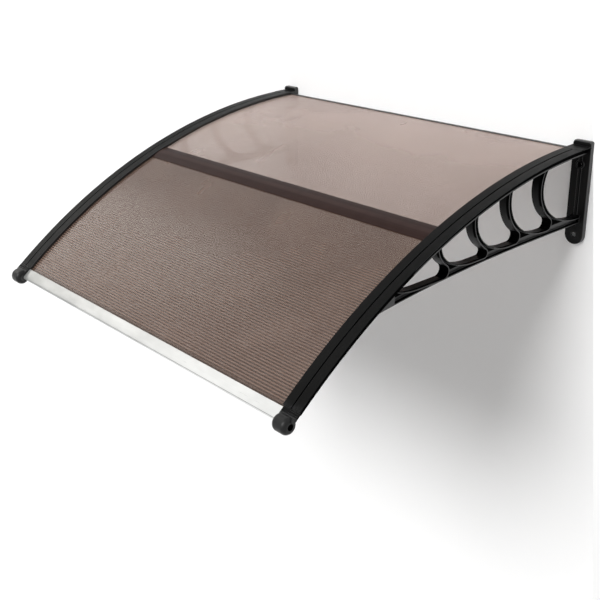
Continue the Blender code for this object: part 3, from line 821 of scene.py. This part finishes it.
class Recipe:
    """A node tree under construction, with short calls for its nodes."""

    def __init__(self, tree):
        self.tree = tree
        self.place = self.add("ShaderNodeTexCoord").outputs["Object"]

    def add(self, kind, inputs=None, **settings):
        """A new node; its inputs, by name or number, take a value or another node's output."""
        node = self.tree.nodes.new(kind)
        for key, value in settings.items():
            setattr(node, key, value)
        self.feed(node, inputs or {})
        return node

    def feed(self, node, inputs):
        for key, value in inputs.items():
            if isinstance(value, bpy.types.NodeSocket):
                self.tree.links.new(value, node.inputs[key])
            else:
                node.inputs[key].default_value = value

    def math(self, operation, first, second=0.0, clamp=False):
        return self.add("ShaderNodeMath", {0: first, 1: second}, operation=operation, use_clamp=clamp).outputs[0]

    def times(self, first, second):
        return self.math("MULTIPLY", first, second)

    def stretch(self, scale):
        return self.add("ShaderNodeMapping", {"Vector": self.place, "Scale": scale}).outputs["Vector"]

    def split(self, vector):
        return self.add("ShaderNodeSeparateXYZ", {0: vector}).outputs

    def noise(self, scale, detail=3.0, rough=0.55, vector=None, distortion=0.0):
        return self.add("ShaderNodeTexNoise", {
            "Vector": vector or self.place, "Scale": scale, "Detail": detail,
            "Roughness": rough, "Distortion": distortion}).outputs["Fac"]

    def spread(self, value, low, high, to_low=0.0, to_high=1.0, smooth=False):
        return self.add("ShaderNodeMapRange", {
            "Value": value, "From Min": low, "From Max": high, "To Min": to_low, "To Max": to_high},
            interpolation_type="SMOOTHSTEP" if smooth else "LINEAR").outputs["Result"]

    def mix(self, share, first, second):
        first, second = ((*colour, 1.0) if isinstance(colour, tuple) else colour for colour in (first, second))
        return self.add("ShaderNodeMix", {"Factor": share, 6: first, 7: second}, data_type="RGBA").outputs[2]

    def bump(self, height, distance, strength, below=None):
        inputs = {"Height": height, "Distance": distance, "Strength": strength}
        if below:
            inputs["Normal"] = below
        return self.add("ShaderNodeBump", inputs).outputs["Normal"]

    def travel(self):
        """The distance along the roof, worked out from the place of the surface point."""
        forward = self.math("SUBTRACT", arc_centre_y, self.split(self.place)["Y"])
        upward = self.math("SUBTRACT", self.split(self.place)["Z"], arc_centre_z)
        slope = self.math("ARCTAN2", forward, upward)
        return self.times(self.math("SUBTRACT", slope, rear_slope), roof_radius)

    def seen_directly(self):
        """A factor that is 1 for camera, glossy and transmission rays."""
        path = self.add("ShaderNodeLightPath").outputs
        either = self.math("MAXIMUM", path["Is Camera Ray"], path["Is Glossy Ray"])
        return self.math("MAXIMUM", either, path["Is Transmission Ray"])


class Surface(Recipe):
    """A material under construction, with one Principled shader."""

    def __init__(self, name, inputs):
        self.material = bpy.data.materials.new(name)
        self.material.use_nodes = True
        super().__init__(self.material.node_tree)
        self.shader = self.tree.nodes["Principled BSDF"]
        self.feed(self.shader, inputs)

    def done(self, colour, roughness, normal):
        self.feed(self.shader, {"Base Color": colour, "Roughness": roughness, "Normal": normal})
        return self.material


dust_colour = (0.026, 0.026, 0.025)
# Pale colour of the painted highlight along edges, partly edge wear.
highlight_and_wear_colour = (0.060, 0.061, 0.062)

# In the order of the regions: name, shade of black, IOR, specular level, least and most roughness, share of dust
# The first row, paler and glossier, is painted light on lit sides; the third, darkest and dullest, is painted shade.
black_plastics = (
    ("black_moulding", 0.0110, 1.52, 0.50, 0.27, 0.37, 0.10),
    ("black_moulding_top", 0.0017, 1.18, 0.40, 0.34, 0.46, 0.07),
    ("black_moulding_painted_shade", 0.0016, 1.06, 0.20, 0.50, 0.60, 0.0),
    ("black_moulding_face", 0.0032, 1.22, 0.40, 0.36, 0.46, 0.0),
    ("black_moulding_cap", 0.0066, 1.36, 0.45, 0.34, 0.46, 0.10),
)


def black_plastic(name, shade_of_black, ior, specular, sheen_low, sheen_high, dust_share):
    """Moulded black plastic: fine grain, slow shrink waves, a little dust on top and a painted highlight along the
    edges, broken by scuffs.
    """
    look = Surface(name, {"Specular IOR Level": specular, "IOR": ior})
    patches = look.noise(11.0, 4.0)
    grain = look.noise(1500.0, 2.0, 0.6)
    waves = look.noise(38.0, 2.0, 0.4)
    scuffs = look.noise(170.0, 5.0, 0.7, look.stretch((1.0, 0.35, 1.0)))
    geometry = look.add("ShaderNodeNewGeometry")
    # Painted highlight along sharp edges, partly edge wear, in scuff-shaped patches.
    edge = look.spread(geometry.outputs["Pointiness"], 0.52, 0.60)
    painted_highlight_patches = look.times(edge, look.spread(scuffs, 0.38, 0.62))
    up = look.spread(look.split(geometry.outputs["Normal"])["Z"], 0.55, 0.95)
    dust = look.times(up, look.spread(patches, 0.35, 0.75))
    low, high = 0.8 * shade_of_black, 1.25 * shade_of_black
    plain = look.mix(patches, (low, 1.03 * low, 1.05 * low), (high, 1.02 * high, 1.02 * high))
    dusty = look.mix(look.times(dust, dust_share), plain, dust_colour)
    rough = look.spread(patches, 0.30, 0.72, sheen_low, sheen_high)
    return look.done(look.mix(look.times(painted_highlight_patches, 0.55), dusty, highlight_and_wear_colour),
                     look.math("ADD", rough, look.times(scuffs, 0.06)),
                     look.bump(grain, 0.00004, 0.6, look.bump(waves, 0.0005, 0.35)))


def front_rim(y, z):
    """Whether a point of the truss lies on the rim along an opening's front edge."""
    for index in range(len(openings)):
        centre_y, centre_z, half_length, half_height = opening_ellipse(index)
        forward, down = (centre_y - y) / half_length, (centre_z - z) / half_height
        if forward <= 0 or math.atan2(down, forward) > rim_end_angle:
            continue
        size = math.hypot(forward, down)
        outside = (size - 1) * size / math.hypot(forward / half_length, down / half_height)
        if -edge_round - small_round < outside < truss_rim + small_round:
            return True
    return False


def lobe_wall(y, z):
    """Whether a point lies on the wall of an opening's round lobe, beside a rib's foot."""
    return any(math.dist((y, z), lobe_place(index)[:2]) < openings[index][3] + small_round
               for index in range(1, len(openings)))


def truss_region(centre, normal, from_middle, outer):
    # Painted shade on the web floor, the rims along the openings' front edges, the chord's underside, the lobe walls
    # and the opening walls beside the web and the outer face; painted light on the other rims and fillets.
    half_web = truss_web / 2
    if abs(normal.x) > 0.6 and from_middle < half_web + web_fillet + near:
        return painted_shade_core if from_middle < half_web - rib_pocket_step / 2 else painted_light_side
    if from_middle > half_web + near and abs(normal.x) > 0.25:
        return painted_shade_core if front_rim(centre.y, centre.z) else painted_light_side
    wall = truss_depth / 2
    if (centre.z < chord_underside(centre.y) + chord_round or lobe_wall(centre.y, centre.z)
            or half_web < from_middle < wall - painted_shade_margin * painted_shade_wall_share
            or outer and from_middle > wall - painted_shade_margin and normal.z > -0.5):
        return painted_shade_core
    return satin_face


def cap_region(travel, height, from_middle, outward, rising):
    # Painted shade in the barrel's face recess and on the cap's outward side below its edge; the barrel has its own
    # in-between copy of the plastic.
    barrel = math.hypot(travel - cap_barrel_travel, height + cap_barrel_drop)
    if barrel < cap_face_radius + small_round / 2:
        return painted_shade_core if from_middle < cap_half_length - near else painted_light_side
    if barrel < cap_barrel_radius + near:
        return cap_barrel
    if outward > 0.5 and height < -rail_edge_round:
        return painted_shade_core
    return grained_top if rising > 0.8 and height > -2 * small_round else painted_light_side


def moulding_region(centre, normal):
    """Which copy of the black plastic a face of the mouldings gets: painted shade in bolt holes, the strip's groove,
    the rail's recess and the truss's hollows, painted light on lit sides and rims.
    """
    across = abs(centre.x) - inner_face
    from_middle = abs(across - bracket_width / 2)
    outward = normal.x if centre.x > 0 else -normal.x
    travel, height = place_on_roof(centre.y, centre.z)
    slope = rear_slope + travel / roof_radius
    rising = math.cos(slope) * normal.z - math.sin(slope) * normal.y
    # Painted shade on the walls of the bolt holes.
    if abs(normal.y) < 0.5 and any(math.hypot(from_middle, centre.z - z) < bolt_radius + edge_round
                                   for z in (-upper_bolt_drop, tab_z)):
        return painted_shade_core
    if centre.y > -plate_thickness - small_round:
        return satin_face if normal.y < -0.9 else painted_light_side
    if travel > rail_length + near:
        return cap_region(travel, height, from_middle, outward, rising)
    # Painted shade in the groove between the press strip and the rail.
    groove_low = rail_wall_across - strip_groove - strip_chamfer - near
    if groove_low < across < rail_wall_across + strip_chamfer / 2 + near and near < -height < sheet_drop * 2:
        return painted_shade_core
    if rising > 0.8 and height > -2 * small_round:
        return grained_top
    # Painted shade in the recess under the rail's slab; its outer edge and flange keep painted light only toward the
    # wall.
    if height > ledge_bottom - near and across > rail_inner_across - near:
        edge = across > bracket_width - small_round and height > -painted_light_edge_share * rail_edge_round
        flange = outward > 0.5 and height < ledge_top and across > rail_flange_across - near
        return painted_light_side if (edge or flange) and travel < painted_shade_edge_travel else painted_shade_core
    if height < ledge_bottom:
        return truss_region(centre, normal, from_middle, across > bracket_width / 2)
    return painted_light_side


# Alpha is that of one surface; a ray meets four to ten. Contrast is that of the flutes' lines, at rear and front. The
# two sheets are one bronze in two shades: the rear painted much paler as painted light, and each darkens toward its
# shaded end as painted shade.
bronze_looks = {
    "rear_sheet": {
        "alpha": 0.42, "ior": 1.33, "contrast": (0.06, 0.24), "shaded_end": (0.15, 0.80),
        "pale": (0.626, 0.498, 0.450), "deep": (0.476, 0.370, 0.333),
        "line": (0.695, 0.588, 0.532), "groove": (0.29, 0.218, 0.193)},
    "front_sheet": {
        "alpha": 0.72, "ior": 1.41, "contrast": (0.35, 0.80),
        "shaded_end": (sheet_front_travel - front_rail_lip - 0.010, sheet_front_travel - front_rail_lip - 0.001),
        "pale": (0.158, 0.106, 0.084), "deep": (0.124, 0.080, 0.062),
        "line": (0.275, 0.187, 0.148), "groove": (0.050, 0.029, 0.021)},
}


def bronze_sheet(name, start, end, alpha, ior, contrast, shaded_end, pale, deep, line, groove):
    """Bronze twin-wall sheet over real flutes, with the flutes' lines painted across the skin: pale lines as painted
    highlight, dark lines as painted shade.
    """
    look = Surface(name, {"Alpha": alpha, "IOR": ior, "Specular IOR Level": 0.5})
    count = round((end - start) / flute_pitch)
    travel = look.travel()
    cell = look.math("DIVIDE", look.math("SUBTRACT", travel, start), (end - start) / count)
    wave = look.math("COSINE", look.times(cell, 2 * math.pi))
    painted_rib_highlight = look.spread(wave, -0.2, 1.0, smooth=True)
    painted_flute_shade = look.spread(wave, -0.45, -1.0, smooth=True)
    drift = look.noise(3.2, 3.0, 0.5, look.stretch((0.55, 1.0, 1.0)))
    # Pale cloudy blotches toward the line colour, as painted sheen.
    clouds = look.noise(8.0, 3.0, 0.5, look.stretch((0.9, 0.7, 1.0)), 0.6)
    streak = look.noise(60.0, 3.0, 0.6, look.stretch((0.03, 1.0, 1.0)))
    base = look.mix(look.spread(drift, 0.32, 0.68), deep, pale)
    base = look.mix(look.spread(clouds, 0.35, 0.75, 0.0, 0.30, smooth=True), base, line)
    base = look.mix(look.spread(streak, 0.30, 0.75, 0.0, 0.22), base, deep)
    strength = look.spread(travel, start, end, *contrast)
    base = look.mix(look.times(painted_rib_highlight, strength), base, line)
    base = look.mix(look.times(painted_flute_shade, strength), base, groove)
    return look.done(look.mix(look.spread(travel, *shaded_end, 0.0, 0.75, smooth=True), base, groove),
                     look.spread(clouds, 0.3, 0.7, 0.19, 0.28), look.bump(wave, 0.00006, 0.5))


def brown_profile():
    """Extruded dark brown profile: draw lines along it, and a paler crown in patches as painted highlight."""
    look = Surface("brown_extrusion", {"Specular IOR Level": 0.3, "IOR": 1.20})
    lines = look.noise(420.0, 3.0, 0.6, look.stretch((0.012, 1.0, 1.0)))
    patches = look.noise(22.0, 4.0, 0.6)
    speck = look.noise(1300.0, 2.0)
    middle = joint_travel - joiner_crown_width / 8
    off_crown = look.math("ABSOLUTE", look.math("SUBTRACT", look.travel(), middle))
    # Painted highlight along the crown, in patches.
    crown = look.spread(off_crown, joiner_crown_width * 0.5, joiner_crown_width * 0.2, smooth=True)
    painted_highlight_patches = look.times(crown, look.spread(patches, 0.3, 0.6, 0.35, 0.9))
    base = look.mix(patches, (0.018, 0.0080, 0.0066), (0.031, 0.0155, 0.0130))
    base = look.mix(painted_highlight_patches, base, (0.044, 0.0245, 0.0215))
    return look.done(look.mix(look.spread(lines, 0.35, 0.75, 0.0, 0.4), base, (0.036, 0.021, 0.018)),
                     look.spread(patches, 0.3, 0.7, 0.30, 0.42),
                     look.bump(speck, 0.00003, 0.5, look.bump(lines, 0.00010, 0.6)))


def aluminium():
    """Satin anodised aluminium, brushed along its length, with painted shade greying it toward its left end, in
    patches.
    """
    look = Surface("satin_aluminium", {"Metallic": 0.45})
    lines = look.noise(900.0, 4.0, 0.65, look.stretch((0.01, 1.0, 1.0)))
    patches = look.noise(9.0, 3.0, 0.6, look.stretch((1.0, 2.0, 2.0)))
    # Painted shade: the base darkens from right to left, broken into patches.
    across = look.spread(look.split(look.place)["X"], -0.55, 0.25, 0.0, 0.75)
    painted_light_and_patches = look.math("ADD", across, look.spread(patches, 0.25, 0.75, -0.10, 0.30), clamp=True)
    base = look.mix(painted_light_and_patches, (0.27, 0.275, 0.265), (0.80, 0.805, 0.79))
    return look.done(look.mix(look.spread(lines, 0.4, 0.8, 0.0, 0.18), base, (0.46, 0.47, 0.47)),
                     look.spread(lines, 0.2, 0.8, 0.26, 0.34), look.bump(lines, 0.00004, 0.5))


def painted_shade_groove_metal():
    """The dull floor of the front rail's groove, darkened as painted shade."""
    look = Surface("groove_painted_shade", {"Metallic": 0.6})
    shade_mottle = look.noise(60.0, 3.0)
    return look.done(look.mix(shade_mottle, (0.28, 0.28, 0.28), (0.40, 0.40, 0.39)),
                     look.spread(shade_mottle, 0.3, 0.7, 0.5, 0.65), look.bump(shade_mottle, 0.00003, 0.4))


def zinc_steel():
    """Zinc-plated screw steel, faintly mottled."""
    look = Surface("zinc_plating", {"Metallic": 1.0})
    mottle = look.noise(900.0, 3.0)
    tint = look.noise(240.0, 2.0)
    return look.done(look.mix(tint, (0.50, 0.51, 0.54), (0.68, 0.68, 0.66)),
                     look.spread(mottle, 0.3, 0.7, 0.28, 0.45), look.bump(mottle, 0.00002, 0.6))


# Pieces

def rail_region(centre, normal):
    """Whether a face of the front rail is the groove's floor, which has the second material."""
    travel, height = place_on_roof(centre.y, centre.z)
    nose = sheet_front_travel + fit_gap + trim_thickness * 2
    radius = (clamp_height - ledge_top) / 2 + trim_thickness
    depth = radius - math.hypot(travel - nose, height - (clamp_height + ledge_top) / 2)
    return int(travel > nose and height > ledge_top and 0.4 < depth / groove_depth < 1.4)


def make_pieces():
    plastics = [black_plastic(*row) for row in black_plastics]
    for build, node in ((build_bracket, "bracket"), (build_press_strip, "press_strip"), (build_end_cap, "end_cap")):
        right = shade(build())
        right.name = f"right_{node}_moulding"
        left = mirrored(right, f"left_{node}_moulding")
        place(right, f"right_{node}", plastics, moulding_region)
        place(left, f"left_{node}", plastics, moulding_region)

    place(shade(build_trim("joiner_extrusion", joiner_profile(), trim_half_length), 20.0),
          "sheet_joiner", [brown_profile()])
    place(shade(build_trim("front_rail_extrusion", front_rail_profile(), front_rail_half_length)),
          "front_rail", [aluminium(), painted_shade_groove_metal()], rail_region)
    place(shade(build_trim("rear_edge_extrusion", rear_strip_profile(), trim_half_length)),
          "rear_edge_strip", plastics[:1])

    steel = zinc_steel()
    pattern = shade(build_screw())
    for number, travel in enumerate((*screw_travels(), cap_screw_travel), start=1):
        seat = screw_frame(travel, ledge_bottom - fit_gap)
        for side, matrix in (("right", seat), ("left", mirror @ seat @ mirror)):
            screw = make_object(f"{side}_screw_{number}_head", pattern.data.copy())
            screw.data.transform(matrix)
            place(screw, f"{side}_screw_{number}", [steel])
    bpy.data.objects.remove(pattern, do_unlink=True)

    half_joint = joiner_web / 2 + fit_gap
    for node, start, end in (("rear_sheet", sheet_rear_travel, joint_travel - half_joint),
                             ("front_sheet", joint_travel + half_joint, sheet_front_travel)):
        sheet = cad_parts[node].data
        sheet.materials[0] = bronze_sheet(f"{node}_bronze", start, end, **bronze_looks[node])


# Stage, light and camera

ambient_light = 0.32
floor_height = -2.6
floor_whiteness = 0.52
floor_glow = 0.58
wall_gap = 0.001
wall_top = 6.0
wall_end = 0.497
wall_lean = 0.1132
wall_whiteness = 0.97
wall_glow = 0.04
stage_reach = 40.0
camera_place = (1.530, -1.828, 0.4688)
camera_dip = math.radians(18.92)
camera_turn = math.radians(47.24)


def make_world():
    world = bpy.data.worlds.new("studio")
    bpy.context.scene.world = world
    world.use_nodes = True
    look = Recipe(world.node_tree)
    look.feed(world.node_tree.nodes["Background"], {
        "Color": (1.0, 1.0, 1.0, 1.0),
        "Strength": look.spread(look.seen_directly(), 0.0, 1.0, ambient_light, 1.0)})


def make_backdrop(name, corners, whiteness, glow):
    """A pale plane that keeps the object's shadow; from behind it doesn't hide the object."""
    plane = mesh_from(name, corners, [[0, 1, 2, 3]])
    if plane.data.polygons[0].normal.dot(Vector((0, -1, 1))) < 0:
        plane.data.flip_normals()
    look = Surface(f"{name}_paint", {"Roughness": 0.9, "Specular IOR Level": 0.1})
    speckle = look.mix(look.noise(4.0, 2.0), (0.99 * whiteness,) * 3, (1.01 * whiteness,) * 3)
    look.feed(look.shader, {"Base Color": speckle})
    lift = look.add("ShaderNodeEmission", {"Strength": look.times(look.seen_directly(), glow)})
    both = look.add("ShaderNodeAddShader", {0: look.shader.outputs[0], 1: lift.outputs[0]})
    under = look.add("ShaderNodeMixShader", {
        0: look.add("ShaderNodeNewGeometry").outputs["Backfacing"],
        1: both.outputs[0], 2: look.add("ShaderNodeBsdfTransparent").outputs[0]})
    look.feed(look.tree.nodes["Material Output"], {"Surface": under.outputs[0]})
    plane.data.materials.append(look.material)


def make_stage():
    """A floor far below, and a wall-like backdrop behind the plates whose end leans beside the right plate."""
    far, low = stage_reach, floor_height
    make_backdrop("studio_floor", [(-far, -far, low), (far, -far, low), (far, far, low), (-far, far, low)],
                  floor_whiteness, floor_glow)
    ends = [(wall_end - wall_lean * z, wall_gap, z) for z in (low, wall_top)]
    make_backdrop("studio_backdrop", [(-far, wall_gap, low), *ends, (-far, wall_gap, wall_top)],
                  wall_whiteness, wall_glow)


def make_sun(name, towards, softness, strength, colour=(1.0, 1.0, 1.0)):
    """A broad soft lamp that lights everything evenly from one direction."""
    data = bpy.data.lights.new(name, "SUN")
    data.color = colour
    data.angle = math.radians(softness)
    data.energy = strength
    light = make_object(name, data)
    light.rotation_euler = (-Vector(towards)).to_track_quat("-Z", "Y").to_euler()


def make_camera():
    data = bpy.data.cameras.new("photo_view")
    data.sensor_width = 36.0
    data.lens = 56.07
    data.shift_y = -0.1
    data.clip_start = 0.05
    data.clip_end = 100.0
    camera = make_object("photo_view", data)
    camera.location = camera_place
    camera.rotation_euler = (math.pi / 2 - camera_dip, 0.0, camera_turn)
    bpy.context.scene.camera = camera


make_pieces()
make_world()
make_stage()
make_sun("key_light", (0.0, -0.816, 0.578), 29.0, 2.5)
make_sun("left_light", (-0.88, 0.00, 0.46), 33.0, 0.60, (1.0, 0.96, 0.90))
make_camera()
bpy.context.scene.view_settings.view_transform = "Standard"
